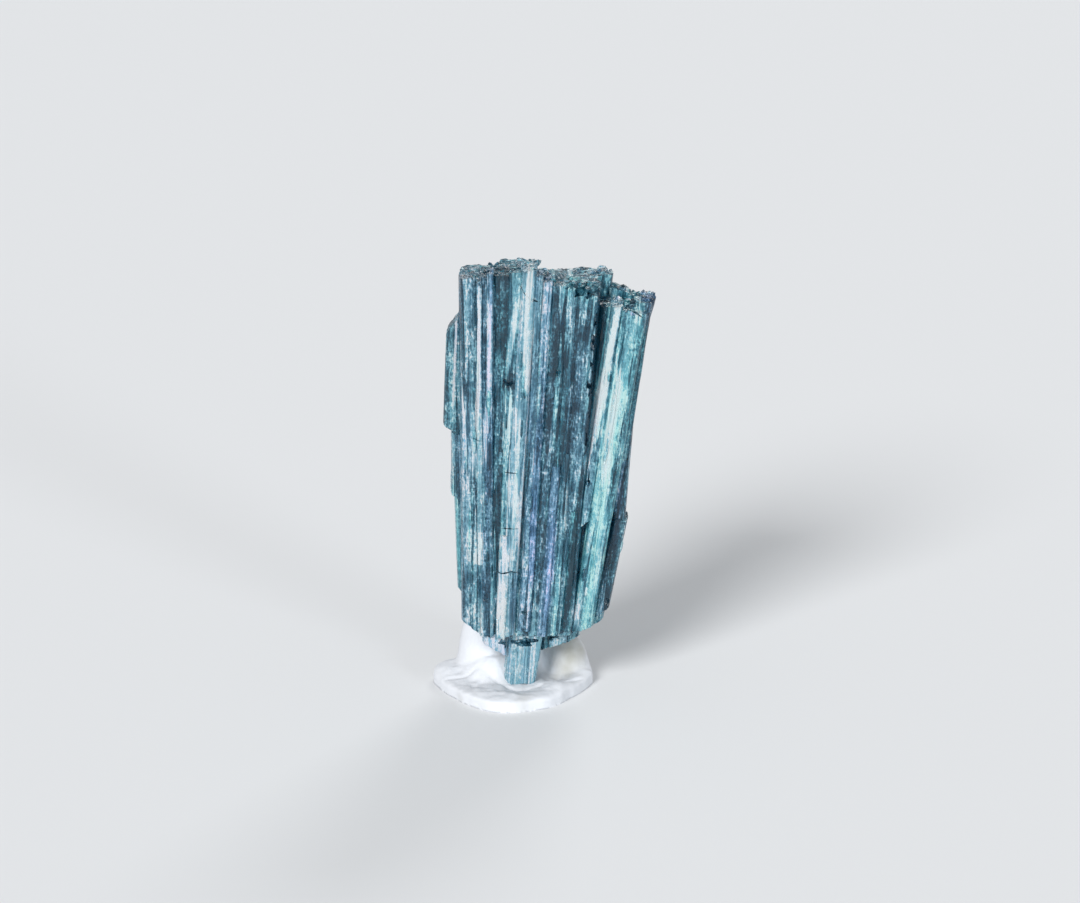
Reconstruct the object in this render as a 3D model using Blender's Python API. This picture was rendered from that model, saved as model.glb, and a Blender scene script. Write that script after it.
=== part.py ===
"""A striated elbaite crystal cluster standing in a dab of white mounting putty.

Run it with: blender --background --python part.py
Metres, +Z up. The origin is under the middle of the specimen's bounding box, on the
surface that the putty is pressed onto. +X runs to the side that the crystals fan out
to, and -Y is the front.
"""

import math
import random
from collections import namedtuple

import bmesh
import bpy
from mathutils import Vector

MM = 0.001

# The whole cluster
DEPTH_MIDDLE = 0.9 * MM  # the plane that the rods' front and back faces are fanned from
DEPTH_FAN = 5.0  # growth of the bundle's depth for each metre of height
DEPTH_FAN_FROM = 20.0 * MM  # the height at which the depths below are measured
FLUTES_WIDE = 9  # ridges round a broad rod, as on a prism of nine faces
FLUTES_NARROW = 5
NARROW_WIDTH = 1.1 * MM
FLUTE_DEPTH = 0.10 * MM
SQUARENESS = 3.2  # power of the rods' rounded-square section
UNEVENNESS = 0.025  # how much each ridge differs, as a share of the rod's half width
JAG_HEIGHT = 0.28 * MM  # of the splinters on a broken or etched end
END_INSET = 0.42  # share of a rod's half width that the end's outer ring takes

# The putty
PUTTY_CENTRE = Vector((-2.72, 0.3)) * MM
PUTTY_RADIUS = 6.55 * MM
PUTTY_CORNERS = 0.09  # how far three corners stand out of the round outline
PUTTY_SQUASH = 0.94  # its depth over its width
LIP_HEIGHT = 1.3 * MM
SOCKET_GAP = 0.25 * MM  # between the crystal and the putty pressed round it

Rod = namedtuple(
    "Rod",
    "name foot_edges head_edges front back foot head foot_slope head_slope",
    defaults=(0, 0),
)

# Each rod of the parallel growth, in millimetres: its left and right edges at the foot
# and at the head, its front and back faces, and the heights of its two ends. An end
# can slope, rising to the right by that much for each millimetre.
RODS = [
    Rod("left_core", (-6.6, -2.6), (-7.0, -1.4), -2.7, 4.5, 6.2, 36.1, -0.2),
    Rod("middle_core", (-3.6, 2.6), (-2.2, 4.6), -2.7, 4.9, 5.3, 35.3),
    Rod("right_core", (1.6, 4.4), (4.2, 8.7), -1.3, 4.2, 6.3, 33.6),
    Rod("stub", (-3.55, -0.75), (-2.6, 0.6), -2.3, 0.9, 0.85, 10.0),
    Rod("pale_chip", (-4.9, -3.25), (-4.9, -3.0), -2.75, -0.4, 3.9, 9.0, -0.7),
    Rod("underside", (-0.6, 2.9), (-0.4, 3.4), -1.6, 2.4, 4.2, 10.0, 0.35),
    Rod("left_wall", (-7.05, -5.7), (-7.35, -6.0), -1.5, 3.3, 7.0, 35.8, -0.7),
    Rod("left_lower", (-7.35, -6.2), (-7.7, -6.3), -1.2, 1.9, 8.6, 20.6, -0.8),
    Rod("left_bulge", (-7.85, -6.4), (-7.8, -6.3), -1.7, 1.2, 16.9, 22.9, -0.9),
    Rod("flake", (-8.75, -7.0), (-8.6, -7.0), -1.6, 0.6, 23.2, 32.4, -0.8, 1.3),
    Rod("flake_back", (-8.3, -6.9), (-8.1, -6.9), -0.6, 1.7, 24.8, 31.2, -0.8, 1.2),
    Rod("left_panel", (-7.0, -5.2), (-7.3, -5.35), -2.9, 1.5, 6.1, 36.3, -0.7),
    Rod("first_rib", (-5.65, -5.1), (-5.6, -5.05), -3.15, -1.2, 11.8, 35.9),
    Rod("second_panel", (-5.5, -4.1), (-5.3, -4.2), -3.0, 0.5, 5.4, 36.4),
    Rod("second_rib", (-4.9, -4.3), (-4.75, -4.15), -3.15, -1.2, 17.6, 36.8),
    Rod("dark_panel", (-4.5, -3.2), (-4.3, -2.3), -2.85, 0.5, 5.6, 36.5),
    Rod("band_flank", (-4.15, -3.1), (-2.95, -1.6), -3.05, -0.5, 5.9, 36.8),
    Rod("bright_band", (-4.1, -2.5), (-1.95, -0.6), -3.3, 0.8, 5.5, 37.2),
    Rod("band_step", (-4.2, -3.3), (-3.75, -2.7), -3.45, -1.0, 5.3, 14.6),
    Rod("blue_rib", (-1.95, -1.3), (-0.8, -0.1), -3.2, -0.5, 11.4, 36.6),
    Rod("grey_rib", (-2.4, -1.2), (-0.3, 0.75), -3.05, -0.2, 5.8, 36.1),
    Rod("middle_face", (-1.5, 1.3), (0.4, 2.9), -2.95, 1.0, 5.5, 35.7),
    Rod("middle_shoulder", (0.6, 2.4), (2.2, 4.45), -2.75, 1.5, 5.6, 35.4, 0, -0.15),
    Rod("lilac_rib", (-0.75, 0.15), (0.55, 1.3), -3.2, -0.8, 5.4, 20.5),
    Rod("teal_rib", (0.5, 1.05), (1.5, 2.1), -3.1, -1.0, 5.5, 21.5),
    Rod("last_rib", (1.3, 2.15), (2.1, 2.8), -2.95, -0.8, 5.8, 16.5),
    Rod("leaning_left", (2.75, 3.7), (5.35, 6.4), -2.5, 0.6, 15.0, 33.9, 0.8),
    Rod("leaning_face", (2.15, 4.1), (6.0, 8.6), -2.65, 1.2, 5.8, 33.5, 0.25, -0.2),
    Rod("leaning_right", (5.2, 7.2), (7.5, 9.0), -1.7, 2.4, 20.0, 33.9, 0.9),
    Rod("corner_knob", (6.9, 8.6), (8.0, 9.45), -0.9, 2.2, 30.2, 34.1, 1.6),
    Rod("sliver", (5.3, 6.55), (6.3, 7.5), -1.4, 1.4, 12.6, 23.6, 0.7, -0.8),
    Rod("sliver_heel", (3.9, 5.4), (5.6, 6.9), -1.6, 1.2, 6.9, 15.4, 0.6),
    Rod("right_heel", (2.4, 4.9), (3.8, 6.0), -1.2, 2.2, 5.6, 12.0, 0.5),
    Rod("back_left", (-6.2, -4.0), (-6.6, -3.8), 2.4, 5.1, 7.2, 35.6),
    Rod("back_left_edge", (-6.8, -5.4), (-7.1, -5.6), 1.2, 4.3, 9.4, 34.8),
    Rod("back_panel", (-4.3, -2.1), (-3.9, -1.2), 2.4, 5.5, 5.8, 36.0),
    Rod("back_ledge", (-3.3, -1.9), (-3.0, -1.4), 3.4, 6.15, 9.0, 27.5),
    Rod("back_middle", (-2.2, 0.2), (-1.3, 1.6), 2.6, 5.6, 6.6, 35.1),
    Rod("back_rib", (0.0, 1.1), (1.2, 2.6), 3.0, 5.9, 9.2, 30.5),
    Rod("back_right", (0.3, 2.9), (2.2, 5.7), 2.0, 5.2, 7.0, 35.3),
    Rod("back_corner", (2.5, 4.4), (5.4, 7.9), 1.6, 4.7, 7.8, 33.3),
    Rod("right_edge", (4.4, 5.9), (7.2, 8.8), 1.3, 3.8, 11.0, 31.6, 0.6),
]
# The rods that reach into the putty
SEATED_RODS = ("stub", "underside", "pale_chip", "left_core", "middle_core", "back_panel")

# Grains left by etching on the broken top: how many, and their radii
GRAIN_COUNT = 24
GRAIN_RADII = (0.35 * MM, 0.7 * MM)
TOPMOST = 33.0  # a rod whose head is above this, in millimetres, carries grains


def clear_scene():
    for obj in list(bpy.data.objects):
        bpy.data.objects.remove(obj)


def new_collection(name):
    collection = bpy.data.collections.new(name)
    bpy.context.scene.collection.children.link(collection)
    return collection


def principled(name, colour, roughness, metallic=0.0):
    material = bpy.data.materials.new(name)
    material.use_nodes = True
    shader = material.node_tree.nodes["Principled BSDF"]
    shader.inputs["Base Color"].default_value = (*colour, 1.0)
    shader.inputs["Roughness"].default_value = roughness
    shader.inputs["Metallic"].default_value = metallic
    return material


def place_helper(mesh, collection):
    """A growth rod, a grain or a cutter, which shows only through a Boolean."""
    obj = bpy.data.objects.new(mesh.name, mesh)
    collection.objects.link(obj)
    obj.hide_render = True
    obj.display_type = "WIRE"
    return obj


def mesh_from(bm, name):
    mesh = bpy.data.meshes.new(name)
    bm.to_mesh(mesh)
    bm.free()
    return mesh


def blend(pair, share):
    return pair[0] + (pair[1] - pair[0]) * share


def fanned_depth(y, z):
    """The depth of a point of the bundle, which spreads from its middle plane upwards."""
    spread = 1 + DEPTH_FAN * (z - DEPTH_FAN_FROM)
    return DEPTH_MIDDLE + (y - DEPTH_MIDDLE) * spread


def section_point(angle, wobble):
    """A point of a rounded square of half width 1, with its own small unevenness."""
    across, deep = math.cos(angle), math.sin(angle)
    radius = (abs(across) ** SQUARENESS + abs(deep) ** SQUARENESS) ** (-1 / SQUARENESS)
    return across * radius * wobble, deep * radius * wobble


def roughen_end(bm, cap, direction, half_width, dice):
    """Breaks an end into an outer ring and a middle, splintered to different heights."""
    inset = bmesh.ops.inset_region(
        bm, faces=[cap], thickness=END_INSET * half_width, use_even_offset=False
    )
    bmesh.ops.poke(bm, faces=[cap])
    for vert in dict.fromkeys(v for face in inset["faces"] for v in face.verts):
        vert.co.z += direction * dice.uniform(-1, 0.6) * JAG_HEIGHT


def rod_mesh(rod, grow=0.0):
    """One fluted prism with splintered ends. grow widens it all round, to cut its seat."""
    dice = random.Random(rod.name)
    widths = (rod.foot_edges[1] - rod.foot_edges[0], rod.head_edges[1] - rod.head_edges[0])
    half_depth = (rod.back - rod.front) / 2 * MM
    flutes = FLUTES_NARROW if min(widths) * MM < NARROW_WIDTH else FLUTES_WIDE
    wobbles = [dice.uniform(1 - UNEVENNESS, 1) for _ in range(2 * flutes)]
    valleys = [dice.uniform(0.4, 1.6) * FLUTE_DEPTH * (step % 2) for step in range(2 * flutes)]
    bm = bmesh.new()
    bmesh.ops.create_cone(
        bm, cap_ends=True, segments=2 * flutes, radius1=1, radius2=1, depth=2
    )
    for vert in bm.verts:
        angle = math.atan2(vert.co.y, vert.co.x)
        step = round(angle / (math.pi / flutes)) % (2 * flutes)
        end = 1 if vert.co.z > 0 else 0
        across, deep = section_point(angle, wobbles[step])
        valley = 1 - valleys[step] / half_depth
        middle = blend(((sum(rod.foot_edges)) / 2, (sum(rod.head_edges)) / 2), end) * MM
        aside = across * valley * (widths[end] / 2 * MM + grow)
        z = (rod.foot * MM - grow, rod.head * MM + grow)[end]
        z += (rod.foot_slope, rod.head_slope)[end] * aside
        y = (rod.front + rod.back) / 2 * MM + deep * valley * (half_depth + grow)
        vert.co = (middle + aside, fanned_depth(y, z), z)
    caps = [face for face in bm.faces if len(face.verts) > 4]
    for cap in caps:
        direction = 1 if cap.normal.z > 0 else -1
        roughen_end(bm, cap, direction, min(*widths) / 2 * MM, dice)
    return mesh_from(bm, rod.name)


def grain_mesh(number, rod, dice):
    """A small angular grain sunk in the end of a rod."""
    bm = bmesh.new()
    bmesh.ops.create_icosphere(bm, subdivisions=1, radius=dice.uniform(*GRAIN_RADII))
    x = blend(rod.head_edges, dice.uniform(0.15, 0.85)) * MM
    y = blend((rod.front, rod.back), dice.uniform(0.15, 0.85)) * MM
    z = (rod.head - 0.15) * MM
    for vert in bm.verts:
        vert.co *= dice.uniform(0.8, 1.25)
        vert.co += Vector((x, fanned_depth(y, z), z))
    return mesh_from(bm, f"grain_{number}")


def build_crystal(parts, helpers):
    """The whole cluster as one solid: every rod and grain joined to the first rod."""
    mesh = rod_mesh(RODS[0])
    crystal = bpy.data.objects.new("elbaite_crystal", mesh)
    parts.objects.link(crystal)
    for rod in RODS[1:]:
        place_helper(rod_mesh(rod), helpers)
    dice = random.Random(7)
    topmost = [rod for rod in RODS if rod.head > TOPMOST]
    for number in range(GRAIN_COUNT):
        place_helper(grain_mesh(number, topmost[number % len(topmost)], dice), helpers)
    join = crystal.modifiers.new("grown_together", "BOOLEAN")
    join.operation = "UNION"
    join.solver = "EXACT"
    join.operand_type = "COLLECTION"
    join.collection = helpers
    crystal.data.materials.append(principled("indicolite", (0.09, 0.24, 0.30), 0.22))


def mound(x, y, centre, height, radius, steepness=2):
    distance = math.hypot(x - centre[0], y - centre[1]) / radius
    return height * math.exp(-(distance**steepness))


def putty_height(x, y):
    """Height of the putty's top over a place on its base."""
    x, y = x / MM, y / MM
    height = LIP_HEIGHT / MM
    height += mound(x, y, (-5.1, 3.0), 4.2, 2.5, 4)  # the lobe pressed up at the left
    height += mound(x, y, (1.3, 3.4), 2.9, 2.4, 4)  # and at the right
    height += mound(x, y, (-2.0, 4.2), 3.6, 2.7, 4)  # and the ridge behind the stub
    height -= mound(x, y, (0.9, -0.7), 0.6, 1.3)  # the thumbed hollow beside the stub
    return height * MM


def putty_mesh():
    """A soft flat-bottomed lump: a sphere pressed to the outline and raised in lobes."""
    bm = bmesh.new()
    bmesh.ops.create_uvsphere(bm, u_segments=28, v_segments=16, radius=1)
    for vert in bm.verts:
        angle = math.atan2(vert.co.y, vert.co.x)
        reach = min(math.hypot(vert.co.x, vert.co.y), 1)
        spread = PUTTY_RADIUS * math.sin(reach * math.pi / 2)
        spread *= 1 + PUTTY_CORNERS * math.cos(3 * (angle + math.pi / 2))
        x = PUTTY_CENTRE.x + math.cos(angle) * spread
        y = PUTTY_CENTRE.y + math.sin(angle) * spread * PUTTY_SQUASH
        rise = math.sqrt(max(vert.co.z, 0))
        vert.co = (x, y, rise * putty_height(x, y))
    return mesh_from(bm, "mounting_putty")


def build_putty(parts, helpers):
    putty = bpy.data.objects.new("mounting_putty", putty_mesh())
    parts.objects.link(putty)
    for rod in RODS:
        if rod.name in SEATED_RODS:
            place_helper(rod_mesh(rod, grow=SOCKET_GAP), helpers)
    cut = putty.modifiers.new("socket", "BOOLEAN")
    cut.operation = "DIFFERENCE"
    cut.solver = "EXACT"
    cut.operand_type = "COLLECTION"
    cut.collection = helpers
    putty.data.materials.append(principled("white_putty", (0.86, 0.85, 0.84), 0.6))


def main():
    clear_scene()
    parts = new_collection("elbaite_specimen")
    build_crystal(parts, new_collection("growth_rods"))
    build_putty(parts, new_collection("seat_cutters"))


main()
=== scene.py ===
"""A display specimen: striated blue-green elbaite crystals in a dab of white putty."""

import math
from collections import namedtuple
from functools import partialmethod

import bmesh
import bpy
import numpy as np
from bpy.props import FloatProperty, FloatVectorProperty, IntProperty, PointerProperty
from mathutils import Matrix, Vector, noise


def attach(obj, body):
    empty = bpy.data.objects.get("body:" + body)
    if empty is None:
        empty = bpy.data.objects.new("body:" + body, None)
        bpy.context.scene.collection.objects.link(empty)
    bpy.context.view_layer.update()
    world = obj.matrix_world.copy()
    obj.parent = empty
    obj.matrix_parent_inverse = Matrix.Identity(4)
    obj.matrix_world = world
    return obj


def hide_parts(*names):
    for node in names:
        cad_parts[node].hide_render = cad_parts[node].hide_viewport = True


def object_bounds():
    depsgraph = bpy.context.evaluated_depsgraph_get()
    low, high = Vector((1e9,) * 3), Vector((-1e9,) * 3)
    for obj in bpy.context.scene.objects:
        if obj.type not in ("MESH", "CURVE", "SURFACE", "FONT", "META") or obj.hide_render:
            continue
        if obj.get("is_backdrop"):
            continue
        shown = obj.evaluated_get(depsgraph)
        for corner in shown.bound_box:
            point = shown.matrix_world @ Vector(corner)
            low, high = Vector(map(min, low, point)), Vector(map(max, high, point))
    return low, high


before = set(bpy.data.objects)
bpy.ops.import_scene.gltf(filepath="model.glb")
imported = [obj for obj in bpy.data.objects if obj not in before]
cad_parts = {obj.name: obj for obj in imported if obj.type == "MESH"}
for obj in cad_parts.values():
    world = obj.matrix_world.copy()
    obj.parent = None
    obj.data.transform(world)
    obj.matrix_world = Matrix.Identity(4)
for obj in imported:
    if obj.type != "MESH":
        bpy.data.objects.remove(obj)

bl_info = {
    "name": "Elbaite specimen",
    "version": (1, 0, 0),
    "blender": (4, 5, 0),
    "location": "View3D > Sidebar > Elbaite",
    "description": "Grows the crystal cluster, presses its putty and sets the stage",
    "category": "Add Mesh",
}

MM = 0.001

# ---------------------------------------------------------------- growth of the crystals

FRONT = -3.1  # where the cluster's front lies, in millimetres
DEPTH_MIDDLE = 0.9 * MM  # the plane that the rods' front and back faces fan out from
DEPTH_FAN = 5.0  # growth of the cluster's depth for each metre of height
FAN_FROM = 20.0 * MM  # the height at which the growth has its given depth and spacing
FAN_AXIS = 6.3 * MM  # how far left of the origin the growth stands upright
FAN_LEAN = 11.0  # lean in radians for each metre to the right of there

Rod = namedtuple(
    "Rod",
    "name foot_edges head_edges front back foot head tone green foot_slope head_slope",
    defaults=(0, 0),
)

# Each rod of the parallel growth, in millimetres: its left and right edges at the foot
# and at the head, its front and back faces, and the heights of its two ends. Then its
# tone from 0, dark, to 1, white, and its share of green. The tones are partly the rods'
# own colour and partly painted light: rods whose faces catch the light, as the bright
# band, are painted lighter. An end can slope, rising to the right by that much for each
# millimetre.
RODS = [Rod(*row) for row in (
    ("left_core", (-6.6, -2.6), (-6.75, -1.4), -2.7, 4.5, 6.2, 35.8, 0.36, 0.2, -0.2, 0.06),
    ("middle_core", (-3.6, 2.6), (-2.2, 4.6), -2.7, 4.9, 5.3, 35.3, 0.3, 0.2),
    ("right_core", (1.6, 4.4), (4.2, 8.45), -1.3, 4.2, 6.3, 33.6, 0.3, 0.5),
    ("stub", (-3.55, -0.75), (-2.6, 0.6), -2.3, 0.9, 0.85, 10.0, 0.66, 0.0),
    ("pale_chip", (-5.3, -3.3), (-5.3, -3.1), -2.75, -0.4, 4.1, 9.0, 0.74, -0.3, -0.55),
    ("small_chip", (0.3, 1.9), (0.3, 1.9), -2.1, -0.4, 4.35, 9.0, 0.62, -0.1, 0.35),
    ("underside", (-0.6, 2.9), (-0.4, 3.4), -1.6, 2.4, 4.2, 10.0, 0.35, 0.3, 0.35),
    ("left_wall", (-7.05, -5.7), (-7.05, -5.8), -1.5, 3.3, 7.0, 35.8, 0.36, 0.1, -0.7),
    ("left_lower", (-7.35, -6.2), (-7.7, -6.3), -1.2, 1.9, 8.6, 20.6, 0.5, 0.3, -0.8),
    ("left_bulge", (-7.85, -6.4), (-7.8, -6.3), -1.7, 1.2, 16.9, 22.9, 0.42, -0.2, -0.9),
    ("flake", (-8.4, -6.7), (-8.1, -6.6), -1.6, 0.6, 22.8, 32.4, 0.26, 0.1, -0.8, 1.3),
    ("flake_back", (-7.95, -6.7), (-7.6, -6.6), -0.6, 1.7, 24.8, 31.2, 0.3, 0.5, -0.8, 1.2),
    ("left_panel", (-7.0, -5.2), (-7.0, -5.3), -2.9, 1.5, 6.1, 36.3, 0.36, -0.1, -0.7),
    ("first_rib", (-5.65, -5.1), (-5.6, -5.05), -3.15, -1.2, 11.8, 35.9, 0.45, 0.0),
    ("second_panel", (-5.5, -4.1), (-5.3, -4.2), -3.0, 0.5, 5.4, 36.4, 0.36, -0.1),
    ("second_rib", (-4.9, -4.3), (-4.75, -4.15), -3.15, -1.2, 17.6, 36.8, 0.42, -0.3),
    ("dark_panel", (-4.5, -3.2), (-4.3, -2.3), -2.85, 0.5, 5.6, 36.5, 0.24, 0.3),
    ("band_flank", (-4.15, -3.1), (-2.95, -1.6), -3.05, -0.5, 5.9, 36.8, 0.46, 0.4),
    ("bright_band", (-4.1, -2.5), (-1.95, -0.6), -3.3, 0.8, 5.5, 37.0, 0.61, 0.0),
    ("top_knob", (-2.2, -1.2), (-2.3, -0.6), -1.7, 1.5, 30.0, 36.85, 0.3, 0.0),
    ("band_step", (-4.2, -3.3), (-3.75, -2.7), -3.45, -1.0, 5.3, 14.6, 0.6, 0.0),
    ("blue_rib", (-1.95, -1.3), (-0.8, -0.1), -3.2, -0.5, 11.4, 36.6, 0.46, -0.1),
    ("grey_rib", (-2.4, -1.2), (-0.3, 0.75), -3.05, -0.2, 5.8, 36.1, 0.36, -0.4),
    ("middle_face", (-1.5, 1.3), (0.4, 2.9), -2.95, 1.0, 5.5, 35.7, 0.26, 0.0),
    ("middle_shoulder", (0.6, 2.4), (2.2, 4.45), -2.75, 1.5, 5.6, 35.4, 0.3, 0.0, 0, -0.15),
    ("lilac_rib", (-0.75, 0.15), (0.55, 1.3), -3.2, -0.8, 5.4, 20.5, 0.48, -0.6),
    ("teal_rib", (0.5, 1.05), (1.5, 2.1), -3.1, -1.0, 5.5, 21.5, 0.36, 0.3),
    ("last_rib", (1.3, 2.15), (2.1, 2.8), -2.95, -0.8, 5.8, 16.5, 0.34, 0.6),
    ("leaning_left", (2.75, 3.7), (5.35, 6.4), -2.5, 0.6, 15.0, 33.9, 0.5, 0.1, 0.8),
    ("leaning_face", (2.15, 4.1), (6.0, 8.4), -2.65, 1.2, 5.8, 33.5, 0.46, 0.6, 0.25, -0.2),
    ("leaning_right", (5.2, 6.95), (7.3, 8.75), -1.7, 2.4, 20.0, 33.9, 0.38, 0.6, 0.9),
    ("corner_knob", (6.9, 8.4), (7.9, 9.1), -0.9, 2.2, 30.2, 34.1, 0.28, -0.6, 1.6),
    ("back_lump", (5.0, 6.6), (5.3, 7.0), 1.6, 4.0, 28.0, 34.2, 0.35, 0.3, 0, -0.3),
    ("sliver", (5.3, 6.55), (6.3, 7.3), -1.4, 1.4, 12.6, 23.6, 0.23, -0.2, 0.7, -0.8),
    ("sliver_heel", (3.9, 5.4), (5.6, 6.9), -1.6, 1.2, 6.9, 15.4, 0.24, 0.0, 0.6),
    ("right_heel", (2.4, 4.9), (3.8, 6.0), -1.2, 2.2, 5.6, 12.0, 0.4, 0.5, 0.5),
    ("back_left", (-6.2, -4.0), (-6.6, -3.8), 2.4, 5.1, 7.2, 35.6, 0.4, 0.1),
    ("back_left_edge", (-6.8, -5.4), (-6.8, -5.4), 1.2, 4.3, 9.4, 34.8, 0.52, 0.3),
    ("back_panel", (-4.3, -2.1), (-3.9, -1.2), 2.4, 5.5, 5.8, 36.0, 0.34, 0.3),
    ("back_ledge", (-3.3, -1.9), (-3.0, -1.4), 3.4, 6.15, 9.0, 27.5, 0.75, 0.1),
    ("back_middle", (-2.2, 0.2), (-1.3, 1.6), 2.6, 5.6, 6.6, 35.1, 0.48, 0.2),
    ("back_rib", (0.0, 1.1), (1.2, 2.6), 3.0, 5.9, 9.2, 30.5, 0.62, 0.6),
    ("back_right", (0.3, 2.9), (2.2, 5.7), 2.0, 5.2, 7.0, 35.3, 0.32, 0.3),
    ("back_corner", (2.5, 4.4), (5.4, 7.9), 1.6, 4.7, 7.8, 33.3, 0.42, 0.5),
    ("right_edge", (4.4, 5.9), (7.0, 8.55), 1.3, 3.8, 11.0, 31.6, 0.42, 0.5, 0.6),
)]


Streak = namedtuple("Streak", "low high half_width light hue", defaults=(0.0,))

# The bright and dark streaks on the front of the cluster, in millimetres: partly veils
# inside the crystal, partly painted highlights where the striations catch the light and
# painted shade in its troughs and gaps. The lower and the upper end of each one's middle
# line as (across, up), and half its width. Then how much lighter it is, or darker, and
# its hue from -1, lilac, to 1, turquoise.
STREAK_FADE = 0.8  # the length over which a streak fades at its ends
STREAKS = [Streak(*row) for row in (
    # the left panels
    ((-7.55, 25), (-7.2, 33), 0.14, 0.65, -0.4),
    ((-5.55, 24), (-5.25, 35.5), 0.17, 0.6),
    ((-4.65, 27), (-4.3, 37.5), 0.14, 0.26, -0.5),
    ((-6.65, 25.4), (-6.65, 26.4), 0.3, 0.6),
    ((-6.1, 21), (-6.2, 26), 0.75, 0.3),
    ((-4.95, 20.5), (-4.85, 25.6), 0.2, 0.7),
    ((-6.05, 19.5), (-6.1, 22.2), 0.6, 0.55),
    ((-6, 8), (-6.1, 18.5), 1.2, -0.1),
    ((-5.35, 10.8), (-5.3, 15.2), 0.3, 0.45),
    ((-7.3, 9), (-7.6, 19), 0.35, 0.12, 0.5),
    ((-5.3, 8.4), (-5.2, 11.4), 1.1, -0.22, -0.2),
    # the dark trough beside the bright band, painted shade
    ((-4.25, 9), (-4.15, 27), 0.55, -0.2),
    ((-3.55, 28), (-3.3, 36), 0.6, -0.18, 0.5),
    # the bright band and its companions, painted highlights where their faces catch the light
    ((-3.25, 27.6), (-2.25, 34.5), 0.3, 0.55),
    ((-1.62, 26.6), (-1.15, 37.5), 0.38, 0.55),
    ((-0.95, 27), (-0.62, 36.5), 0.16, -0.25),
    ((-3.05, 26.2), (-2.95, 28.6), 0.85, -0.4),
    ((-3.15, 25.5), (-3.1, 27.2), 0.5, 0.5, 0.5),
    ((-2.8, 23), (-2.75, 25.4), 1, 0.4),
    ((-2.6, 19.8), (-2.5, 23.2), 0.85, 0.15),
    ((-2.95, 16.7), (-2.7, 19.9), 0.75, 0.4),
    ((-3.1, 13.5), (-3, 16.8), 0.8, 0.05),
    ((-3.25, 11.4), (-3.15, 14.2), 0.75, 0.35),
    ((-3.75, 6), (-3.65, 11.2), 0.4, 0.45),
    ((-2.6, 6), (-2.6, 11.2), 0.45, -0.3, -0.3),
    ((-2.05, 11.4), (-2, 15.5), 0.25, 0.25),
    # the middle
    ((-1.75, 18), (-0.55, 36.5), 0.22, 0.25),
    ((-1, 18), (-0.85, 22.6), 0.2, 0.35),
    ((-1.1, 10), (-1, 18), 0.35, -0.05, -0.8),
    ((1.2, 20), (1.4, 33), 0.75, -0.25, 0.2),
    ((0.8, 24.6), (0.85, 25.3), 0.12, 0.6),
    ((2.95, 27.8), (3.3, 29.6), 0.55, 0.4),
    ((2.6, 16.5), (2.75, 29), 0.3, 0.15),
    ((1.55, 13.8), (1.9, 19.8), 0.12, 0.6),
    ((0.2, 7.6), (0.75, 15.6), 0.38, 0.26, -1),
    ((1.2, 9.2), (1.3, 11.2), 0.12, 0.5),
    ((1.75, 8), (2.4, 16), 0.45, -0.28),
    ((2.2, 8), (3.1, 20), 0.5, -0.25, 0.4),
    ((1.3, 11), (1.7, 20.5), 0.9, -0.12),
    ((0.3, 7), (0.8, 16), 1.4, -0.08),
    # the leaning crystal
    ((4.95, 28.3), (6, 34), 0.28, 0.6),
    ((5.85, 27), (5.95, 28.7), 0.35, 0.7),
    ((3.75, 22), (5, 28.4), 0.5, 0.75),
    ((3.2, 19.2), (3.75, 22), 0.26, 0.6),
    ((5.05, 21.8), (6.05, 27.6), 0.5, 0.7),
    ((4.85, 18.8), (5.3, 22), 0.48, 0.62),
    ((7.5, 32.2), (7.7, 34), 0.3, 0.6),
    ((3.05, 6), (4.85, 19.5), 1.05, 0.13, 0.3),
    ((4.05, 8), (5.2, 19), 0.28, 0.2),
    ((2.55, 5.8), (2.75, 8.8), 0.4, 0.3, -0.8),
    ((6.7, 17), (6.95, 22.5), 0.3, 0.3, 0.5),
    ((5.75, 12), (6.35, 18.5), 0.22, -0.2, -0.4),
    ((7, 23), (8.2, 33), 0.6, -0.2, 0.2),
    # the shadowed gap beside the leaning crystal
    ((3.3, 21.4), (4.72, 35), 0.3, -0.6),
    # the sliver and the heel on its right; the first two are painted shadow in the gap between
    # the leaning crystal and the sliver
    ((6.1, 16.5), (7.2, 23), 0.13, -0.55),
    ((4.75, 9.3), (6.1, 16.8), 0.26, -0.5),
    ((4.45, 6.6), (4.9, 8.3), 0.13, 0.6),
    ((5.35, 7), (5.95, 9.5), 0.11, 0.5),
    # the etched tops
    ((1.3, 35.95), (1.35, 37.6), 0.4, 0.6, -0.8),
    ((-3.6, 35.6), (-3.6, 38), 4, -0.17),
    ((-5.6, 29.5), (-5.7, 36.2), 1.6, -0.06),
    ((2.7, 33.8), (2.7, 37), 1.9, 0.14, 0.6),
    ((8.6, 31.8), (9, 35), 0.9, -0.22, -1),
    ((7.9, 23), (8.8, 33), 0.5, -0.32, 0.3),
)]

Crack = namedtuple("Crack", "left right depth width")

# Where the front is broken across, in millimetres: the two ends of each crack as
# (across, up), how deep it goes and how wide it gapes.
CRACKS = [Crack(*row) for row in (
    ((-4.3, 11.3), (-1.95, 11.22), 0.9, 0.08),
    ((-1.55, 34.75), (-0.35, 34.25), 0.8, 0.1),
    ((-2.15, 35.8), (-1.35, 34.7), 0.7, 0.09),
    ((-4.6, 14.95), (-2.3, 15.1), 0.5, 0.05),
    ((6.3, 34), (7.9, 32.9), 0.9, 0.1),
    ((3.9, 33.6), (6.1, 32.6), 0.6, 0.09),
    ((-6.9, 9.8), (-4.9, 9.7), 0.5, 0.05),
    ((-3.4, 19.9), (-2, 19.85), 0.4, 0.05),
    ((-6.3, 22.8), (-5.1, 22.6), 0.4, 0.05),
    ((-1.9, 7.6), (-0.9, 7.7), 0.5, 0.06),
    ((2.9, 8.3), (4.6, 8), 0.7, 0.06),
)]

Pit = namedtuple("Pit", "place size")

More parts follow.
